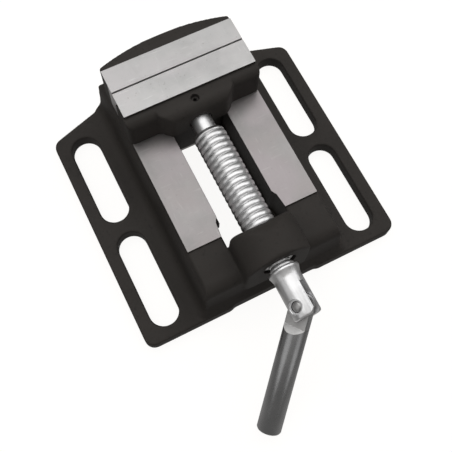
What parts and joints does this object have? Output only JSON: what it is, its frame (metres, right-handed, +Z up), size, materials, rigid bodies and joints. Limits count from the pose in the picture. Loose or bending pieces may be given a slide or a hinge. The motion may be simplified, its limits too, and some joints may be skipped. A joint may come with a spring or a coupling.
{
  "type": "drill press vise",
  "caption": "Slotted-base machine vise: a cast body with ground rails, a sliding jaw moved by a trapezoidal lead screw, and a hinged bar handle.",
  "frame": {"origin": "centre of the bounding box's underside, jaws closed and handle let down; the base plate's underside is z = 0", "axes": "+Z up, +Y along the lead screw from the handle to the fixed jaw, +X to the right seen from the handle"},
  "size_m": [0.15, 0.2088, 0.0567],
  "materials": {
    "black_casting": "satin black paint on cast iron, with ground bare faces on the rails and jaw tops",
    "ground_steel": "surface ground steel",
    "black_oxide": "black oxide fastener steel",
    "bright_zinc": "turned steel with bright zinc plating",
    "handle_steel": "drawn steel bar, satin"
  },
  "bodies": {
    "base": {"vise_body": "black_casting", "fixed_jaw_plate": "ground_steel", "fixed_jaw_plate_screw_left": "black_oxide", "fixed_jaw_plate_screw_right": "black_oxide"},
    "sliding_jaw": {"moving_jaw": "black_casting", "moving_jaw_plate": "ground_steel", "moving_jaw_plate_screw_left": "black_oxide", "moving_jaw_plate_screw_right": "black_oxide", "keeper_plate": "ground_steel", "keeper_screw_left": "black_oxide", "keeper_screw_right": "black_oxide", "keeper_washer_left": "black_oxide", "keeper_washer_right": "black_oxide", "nose_set_screw": "black_oxide"},
    "spindle": {"lead_screw": "bright_zinc", "handle_pin": "bright_zinc"},
    "handle": {"handle_bar": "handle_steel"}
  },
  "joints": [
    {"name": "jaw_slide", "type": "slide", "parent": "base", "child": "sliding_jaw", "axis": [0, -1, 0], "range_m": [0, 0.06]},
    {"name": "screw_spin", "type": "hinge", "parent": "sliding_jaw", "child": "spindle", "pos_m": [0, -0.03664, 0.0417], "axis": [0, -1, 0], "range_deg": [-50, 6220]},
    {"name": "handle_hinge", "type": "hinge", "parent": "spindle", "child": "handle", "pos_m": [0, -0.05684, 0.0417], "axis": [0.6884, 0, -0.7254], "range_deg": [-140, 39]}
  ],
  "couplings": [
    {"joint": "screw_spin", "follows": "jaw_slide", "rad_per_m": 1795.2}
  ]
}
